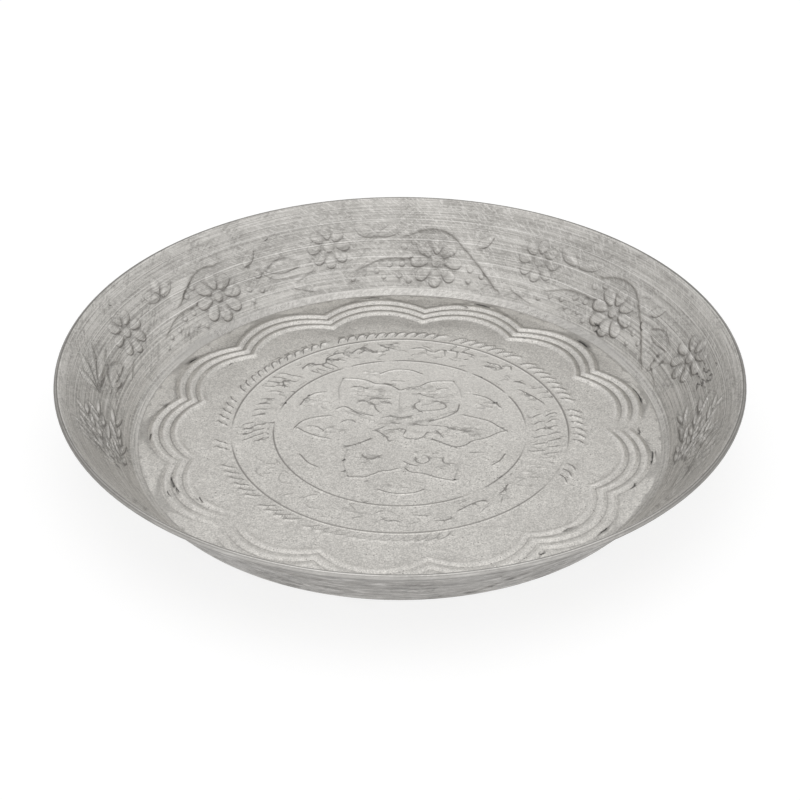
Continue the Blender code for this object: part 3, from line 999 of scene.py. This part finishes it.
def new_group(name, inputs, outputs):
    """Empty node group from a vector and numbers to numbers, with the sockets of its two ends."""
    group = bpy.data.node_groups.new(name, "ShaderNodeTree")
    group.interface.new_socket(name="Vector", in_out="INPUT", socket_type="NodeSocketVector")
    for in_out, sockets in (("INPUT", inputs), ("OUTPUT", outputs)):
        for socket in sockets:
            group.interface.new_socket(name=socket, in_out=in_out, socket_type="NodeSocketFloat")
    start = group.nodes.new("NodeGroupInput")
    end = group.nodes.new("NodeGroupOutput")
    return group, start.outputs, end.inputs


# Grain, pits and clouding of bare metal, shared by the dish and the wire.
metal_grain, given, result = new_group("metal_grain", ["Size"], ["Grain", "Pits", "Mottle", "Cloud"])
per_metre = math_node(metal_grain, "DIVIDE", 1.0, given["Size"])
grades = (("Grain", 1, 3, 0.7), ("Mottle", 0.3, 2, 0.6), ("Cloud", 0.045, 4, 0.6))
for name, share, detail, roughness in grades:
    scale = product(metal_grain, per_metre, share)
    metal_grain.links.new(noise(metal_grain, given["Vector"], scale, detail, roughness), result[name])
values = {"Vector": given["Vector"], "Scale": product(metal_grain, per_metre, 0.34)}
pits = place_node(metal_grain, "ShaderNodeTexVoronoi", values).outputs["Distance"]
metal_grain.links.new(range_node(metal_grain, pits, 0.08, 0.2, 1.0, 0.0), result["Pits"])

# Fine parallel lines left by turning or drawing, shared by the dish and the wire.
turning_marks, given, result = new_group("turning_marks", ["Along", "Across"], ["Lines"])
values = {"X": given["Along"], "Y": given["Along"], "Z": given["Across"]}
stretch = place_node(turning_marks, "ShaderNodeCombineXYZ", values).outputs[0]
values = {0: given["Vector"], 1: stretch}
drawn_out = place_node(turning_marks, "ShaderNodeVectorMath", values, operation="MULTIPLY").outputs[0]
turning_marks.links.new(noise(turning_marks, drawn_out, 1, 5, 0.7), result["Lines"])


def new_material(name):
    """New material with its nodes, its shader and the place on the object."""
    material = bpy.data.materials.new(name)
    material.use_nodes = True
    tree = material.node_tree
    coords = tree.nodes.new("ShaderNodeTexCoord").outputs["Object"]
    return material, tree, tree.nodes["Principled BSDF"], coords


def grain_of(tree, coords, size):
    values = {"Vector": coords, "Size": size}
    return place_node(tree, "ShaderNodeGroup", values, node_tree=metal_grain).outputs


def lines_on(tree, coords, along, across):
    values = {"Vector": coords, "Along": along, "Across": across}
    return place_node(tree, "ShaderNodeGroup", values, node_tree=turning_marks).outputs["Lines"]


embossed_metal, tree, shader, coords = new_material("embossed_metal_finish")
axes = place_node(tree, "ShaderNodeSeparateXYZ", {0: coords}).outputs
height = axes["Z"]
flat = place_node(tree, "ShaderNodeCombineXYZ", {"X": axes["X"], "Y": axes["Y"]}).outputs[0]
radius = place_node(tree, "ShaderNodeVectorMath", {0: flat}, operation="LENGTH").outputs["Value"]
mask = {}
for name in masks:
    mask[name] = place_node(tree, "ShaderNodeAttribute", attribute_name=name).outputs["Fac"]
at_far_side = range_node(tree, axes["Y"], 0.03, 0.13)
off_floor = range_node(tree, radius, FLOOR_RADIUS - 0.0003, FLOOR_RADIUS + 0.0001)
# The wall's colour starts at the floor in front and at the top of the bevel at the back, so the bevel is
# painted dark except at the back: painted shade.
wall_foot = range_node(tree, at_far_side, 0, 1, FLOOR_MIDDLE, BEVEL_HEIGHT)
on_wall_face = range_node(tree, height, wall_foot, math_node(tree, "ADD", wall_foot, 0.0006))
on_wall_face = product(tree, on_wall_face, off_floor)
sideways = math_node(tree, "ABSOLUTE", math_node(tree, "DIVIDE", axes["X"], RIM_RADIUS))
fine = grain_of(tree, coords, 0.0009)
turned = lines_on(tree, coords, 16.0, 1700.0)
flecks = lines_on(tree, coords, 65.0, 430.0)


def slanted_strokes(turn_per_metre, along):
    """Polishing strokes that climb the wall at a slant."""
    values = {"Vector": coords, "Angle": product(tree, height, turn_per_metre)}
    slanted = place_node(tree, "ShaderNodeVectorRotate", values, rotation_type="Z_AXIS")
    return lines_on(tree, slanted.outputs[0], along, 25.0)


rising = slanted_strokes(9.0, 420.0)
falling = slanted_strokes(-7.0, 520.0)

# Colour: clouded grey metal with a gritty grain, and dark pits in places.
base = mix_colour(tree, fine["Cloud"], (0.44, 0.425, 0.4, 1), (0.655, 0.638, 0.607, 1))
for texture, darkest, lightest in (("Grain", 0.74, 1.23), ("Mottle", 0.93, 1.06)):
    tone = range_node(tree, fine[texture], 0.3, 0.7, darkest, lightest)
    base = mix_colour(tree, 1.0, base, tone, "MULTIPLY")
in_clouds = range_node(tree, fine["Cloud"], 0.42, 0.6)
base = coat(tree, base, (0.13, 0.12, 0.11), fine["Pits"], in_clouds, 0.75)
# Painted light: the middle of the floor is paler away from the front, and its margin brighter, most of all
# at the back.
# The shade mask darkens parts of the pattern, partly patina and partly painted shade.
in_middle = range_node(tree, radius, 0.1, 0.115, 1.0, 0.0)
base = coat(tree, base, (0.71, 0.692, 0.66), in_middle, range_node(tree, axes["Y"], -0.05, 0.09), 0.42)
margin = range_node(tree, radius, 0.148, 0.152)
base = coat(tree, base, (0.8, 0.78, 0.745), margin, range_node(tree, axes["Y"], 0.0, 0.1, 0.08, 0.32))
base = coat(tree, base, (0.2, 0.19, 0.178), range_node(tree, mask["shade"], 0.0, 1.2, 0.0, 0.34))
# Wall: a little darker, with turned lines and patches of crossed strokes. The darkening is random smudging
# and painted shade, stronger on the far wall and weaker on the left.
PATINA_AND_SHADE = (0.26, 0.25, 0.235)
smudge_and_painted_shade = range_node(tree, fine["Cloud"], 0.36, 0.64, 0.2, 0.4)
smudge_and_painted_shade = math_node(tree, "ADD", smudge_and_painted_shade, range_node(tree, axes["Y"], 0.08, 0.17, 0.0, 0.17))
smudge_and_painted_shade = math_node(tree, "SUBTRACT", smudge_and_painted_shade, range_node(tree, axes["X"], -0.08, -0.16, 0.0, 0.2))
base = coat(tree, base, (0.3, 0.29, 0.275), on_wall_face, smudge_and_painted_shade)
half_way_up = product(tree, range_node(tree, height, 0.012, 0.03), range_node(tree, height, 0.05, 0.042))
base = coat(tree, base, PATINA_AND_SHADE, half_way_up, 0.2)
# Painted shade: the top of the wall is darker towards the back.
near_top = range_node(tree, height, 0.034, 0.05)
base = coat(tree, base, PATINA_AND_SHADE, near_top, range_node(tree, axes["Y"], 0.0, 0.14), 0.2)
# Dark turned lines, denser at the sides: painted shade on the side walls.
at_sides = range_node(tree, sideways, 0.4, 0.85, 0.42, 0.58)
base = coat(tree, base, (0.22, 0.21, 0.197), range_node(tree, turned, 0.48, 0.62), on_wall_face, at_sides)
base = coat(tree, base, (0.74, 0.722, 0.694), range_node(tree, turned, 0.5, 0.38), on_wall_face, 0.36)
patches = range_node(tree, fine["Cloud"], 0.4, 0.6)
base = coat(tree, base, PATINA_AND_SHADE, range_node(tree, rising, 0.48, 0.6), on_wall_face, patches, 0.6)
base = coat(tree, base, (0.62, 0.605, 0.58), range_node(tree, falling, 0.5, 0.62), on_wall_face, 0.6)
# Bright lines left by the turning tool, each at its height and with its own strength.
tool_lines = ((0.0419, 0.35), (0.0313, 0.5), (0.0226, 0.55), (0.0166, 0.4), (0.0122, 0.25))
for line_height, strength in tool_lines:
    share = range_node(tree, distance_from(tree, height, line_height), 0.00008, 0.00028, strength, 0.0)
    base = coat(tree, base, (0.85, 0.835, 0.81), share, range_node(tree, turned, 0.3, 0.5))
# Bevel: burnished with short slanted streaks, ragged along its top. The light streaks are painted at the
# back only, a painted highlight, and in front and at the sides the wall's darker colour reaches down over it
# as painted shade.
uneven = product(tree, math_node(tree, "SUBTRACT", rising, 0.5), at_far_side)
ragged = math_node(tree, "MULTIPLY_ADD", uneven, 0.0028, height)
bevel = product(tree, off_floor, range_node(tree, ragged, 0.0048, 0.0068, 1.0, 0.0))
bevel = product(tree, bevel, range_node(tree, at_far_side, 0, 1, 0.1, 1.0))
base = coat(tree, base, (0.33, 0.32, 0.304), bevel)
far_highlight_streaks = range_node(tree, rising, 0.36, 0.66, 0.0, 0.8)
base = coat(tree, base, (0.5, 0.486, 0.464), far_highlight_streaks, at_far_side, bevel)
# Outside: darker, painted shade on the downward-facing outer wall, with short light and dark flecks.
base = coat(tree, base, (0.28, 0.264, 0.249), mask["outside"], 0.47)
base = coat(tree, base, (0.66, 0.645, 0.62), range_node(tree, flecks, 0.52, 0.64), mask["outside"], 0.75)
base = coat(tree, base, (0.2, 0.193, 0.182), range_node(tree, flecks, 0.48, 0.36), mask["outside"], 0.75)
# Rolled edge: a painted highlight in front and painted shade at the sides, a fine dark line of painted shade
# on either side of its top, the outer one also bumped as a groove, and painted shade underneath.
out_of_roll = math_node(tree, "SUBTRACT", radius, BEAD_RADIUS)
above_roll = math_node(tree, "SUBTRACT", height, BEAD_HEIGHT)
round_roll = math_node(tree, "ARCTAN2", out_of_roll, above_roll)
on_roll = range_node(tree, radius, 0.1975, 0.1981)


def shade_line_at(degrees, dark_to, gone_by):
    """Dark line of painted shade along the roll at an angle from its top, with its half width and fade in
    radians.
    """
    away = distance_from(tree, round_roll, math.radians(degrees))
    return product(tree, range_node(tree, away, dark_to, gone_by, 1.0, 0.0), on_roll)


outer_shade_line = shade_line_at(40, 0.12, 0.34)
shade_under_roll = range_node(tree, round_roll, math.radians(92), math.radians(116), 0.0, 0.6)
base = coat(tree, base, (0.72, 0.704, 0.68), range_node(tree, axes["Y"], -0.06, -0.17, 0.0, 0.36), on_roll)
base = coat(tree, base, (0.22, 0.212, 0.2), range_node(tree, sideways, 0.35, 0.9, 0.08, 0.68), on_roll)
base = coat(tree, base, (0.1, 0.095, 0.088), outer_shade_line, 0.42)
base = coat(tree, base, (0.17, 0.163, 0.153), shade_under_roll, on_roll)
base = coat(tree, base, (0.14, 0.135, 0.126), shade_line_at(-14, 0.2, 0.42), 0.75)
# High parts of the pattern, rubbed bright and given a painted highlight, less so on the wall.
rubbed_and_highlight = range_node(tree, mask["shade"], -0.1, -0.8)
base = coat(tree, base, (0.86, 0.84, 0.81), rubbed_and_highlight, range_node(tree, height, 0.006, 0.009, 0.28, 0.1))
# Dark drawn lines, patina set on their shaded sides as painted shade, and the black worn dashes.
off_line_middle = math_node(tree, "ABSOLUTE", mask["line_gap"])
worn_black = range_node(tree, mask["line_tone"], 1.0, 1.3)
line = product(tree, range_node(tree, off_line_middle, 0.2, 0.85, 1.0, 0.0), mask["line_tone"])
line = product(tree, range_node(tree, line, 0, 1), range_node(tree, worn_black, 0, 1, 0.74, 0.4))
base = coat(tree, base, (0.15, 0.142, 0.132), line)
inside = range_node(tree, mask["outside"], 0, 1, 1.0, 0.0)
black_share = product(tree, range_node(tree, off_line_middle, 0.06, 0.34, 1.0, 0.0), worn_black, inside)
base = coat(tree, base, (0.03, 0.028, 0.026), black_share)
tree.links.new(base, shader.inputs["Base Color"])
rough = range_node(tree, fine["Cloud"], 0.3, 0.7, 0.37, 0.45)
rough = math_node(tree, "MULTIPLY_ADD", range_node(tree, fine["Grain"], 0.4, 0.7), 0.1, rough)
rough = math_node(tree, "MULTIPLY_ADD", bevel, -0.14, rough)
tree.links.new(rough, shader.inputs["Roughness"])
tree.links.new(range_node(tree, black_share, 0, 1, 1.0, 0.35), shader.inputs["Metallic"])
brushed = product(tree, math_node(tree, "SUBTRACT", turned, 0.5), on_wall_face)
relief = product(tree, fine["Grain"], 1.5)
for mark, depth in (
    (fine["Pits"], -0.4), (brushed, 2.4), (line, -1.5), (fine["Mottle"], 2.2), (outer_shade_line, -0.8),
):
    relief = math_node(tree, "MULTIPLY_ADD", mark, depth, relief)
raise_surface(tree, shader, relief, 0.45, 0.00025)
dish.data.materials.clear()
dish.data.materials.append(embossed_metal)
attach(dish, "root")
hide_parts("dish")

# Rim wire
# Plain drawn steel wire, bent to a ring with its ends butted, that the edge of the sheet is rolled
# round. It shows only in the open side of the roll, under the rim.
wire_steel, tree, shader, coords = new_material("wire_steel_finish")
fine = grain_of(tree, coords, 0.0005)
drawn = lines_on(tree, coords, 30.0, 9000.0)
base = mix_colour(tree, fine["Cloud"], (0.30, 0.30, 0.31, 1), (0.46, 0.46, 0.47, 1))
base = coat(tree, base, (0.16, 0.11, 0.08), range_node(tree, fine["Grain"], 0.54, 0.72), 0.5)
base = coat(tree, base, (0.6, 0.6, 0.61), drawn, 0.25)
tree.links.new(base, shader.inputs["Base Color"])
tree.links.new(range_node(tree, drawn, 0.3, 0.7, 0.3, 0.48), shader.inputs["Roughness"])
shader.inputs["Metallic"].default_value = 1.0
raise_surface(tree, shader, drawn, 0.3, 0.00005)
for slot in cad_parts["rim_wire"].material_slots:
    slot.material = wire_steel

# Felt pads
# Four discs punched from thick pressed grey felt and stuck under the floor, clear of the embossing,
# so that the tray stands without scratching. Their cut edges are soft and a little hairy.
PAD_RADIUS = 0.008
PAD_THICKNESS = 0.002
PAD_EDGE = 0.00045
PAD_RING = 0.0018               # width of each ring of faces across a disc
grey_felt, tree, shader, coords = new_material("grey_felt_finish")
hairs = noise(tree, coords, 1600, 6, 0.75, 1.6)
tufts = noise(tree, coords, 260, 3)
hair_share = range_node(tree, hairs, 0.35, 0.68)
base = mix_colour(tree, hair_share, (0.05, 0.05, 0.053, 1), (0.15, 0.15, 0.156, 1))
base = coat(tree, base, (0.19, 0.185, 0.18), range_node(tree, tufts, 0.4, 0.75, 0, 0.45))
tree.links.new(base, shader.inputs["Base Color"])
shader.inputs["Roughness"].default_value = 0.95
shader.inputs["Sheen Weight"].default_value = 0.35
raise_surface(tree, shader, hairs, 0.7, 0.0002)

deselect_everything()
bpy.ops.mesh.primitive_cylinder_add(vertices=64, radius=PAD_RADIUS, depth=PAD_THICKNESS)
first_pad = bpy.context.object
first_pad.data.materials.append(grey_felt)
bpy.ops.object.mode_set(mode="EDIT")
bpy.context.tool_settings.mesh_select_mode = (False, False, True)
for ring in range(4):
    bpy.ops.mesh.select_all(action="DESELECT")
    bpy.ops.mesh.select_face_by_sides(number=4, type="GREATER")
    bpy.ops.mesh.inset(thickness=PAD_RING)
bpy.ops.object.mode_set(mode="OBJECT")
soften = first_pad.modifiers.new("soft_edge", "BEVEL")
soften.width = PAD_EDGE
soften.segments = 3
soften.limit_method = "ANGLE"
bpy.ops.object.modifier_apply(modifier="soft_edge")
bpy.ops.object.shade_smooth_by_angle(angle=math.radians(40))
pads = [first_pad]
for number in range(3):
    bpy.ops.object.duplicate(linked=False)
    pads.append(bpy.context.object)
for number, pad in enumerate(pads, 1):
    low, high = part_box(f"felt_pad_{number}")
    pad.name = f"felt_disc_{number}"
    pad.data.name = pad.name
    deselect_everything()
    pad.select_set(True)
    bpy.context.view_layer.objects.active = pad
    pad.location = [(a + b) / 2 for a, b in zip(low, high)]
    bpy.ops.object.transform_apply(location=True, rotation=True, scale=True)
    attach(pad, "root")
    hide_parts(f"felt_pad_{number}")

# Floor, light and camera
# A plain white floor that keeps a soft shadow, one broad soft lamp above the camera, and white
# surroundings, which the metal reflects.
deselect_everything()
bpy.ops.mesh.primitive_plane_add(size=8, location=(0, 0, 0))
ground = bpy.context.object
ground.name = "white_floor"
white_floor, tree, shader, _ = new_material("white_floor_paint")
tree.nodes.remove(shader)


def seen_directly(tree):
    """1 for rays that show the background, seen straight or in metal, and 0 for those that light."""
    path = tree.nodes.new("ShaderNodeLightPath").outputs
    mirrored = math_node(tree, "MAXIMUM", path["Is Glossy Ray"], path["Is Transmission Ray"])
    return math_node(tree, "MAXIMUM", path["Is Camera Ray"], mirrored)


matt = place_node(tree, "ShaderNodeBsdfDiffuse", {"Color": (0.3, 0.3, 0.3, 1)})
glow = place_node(tree, "ShaderNodeEmission", {"Strength": product(tree, seen_directly(tree), 0.8)})
both = place_node(tree, "ShaderNodeAddShader", {0: matt.outputs[0], 1: glow.outputs[0]})
tree.links.new(both.outputs[0], tree.nodes["Material Output"].inputs["Surface"])
ground.data.materials.append(white_floor)

world = bpy.data.worlds.new("white_surroundings")
bpy.context.scene.world = world
world.use_nodes = True
tree = world.node_tree
strength = range_node(tree, seen_directly(tree), 0, 1, 0.6, 1.0)
tree.links.new(strength, tree.nodes["Background"].inputs["Strength"])
tree.nodes["Background"].inputs["Color"].default_value = (1, 1, 1, 1)

bpy.ops.object.light_add(type="AREA", location=(0, -0.25, 1.9))
key = bpy.context.object
key.name = "key_lamp"
key.data.shape = "DISK"
key.data.size = 2.2
key.data.energy = 9
key.rotation_euler = (math.radians(8), 0, 0)

bpy.ops.object.camera_add(location=(0, -0.9766, 0.6857), rotation=(math.radians(55.90), 0, 0))
camera = bpy.context.object
camera.name = "photo_view"
camera.data.lens = 89.89
camera.data.sensor_width = 36
bpy.context.scene.camera = camera
bpy.context.scene.view_settings.view_transform = "Standard"
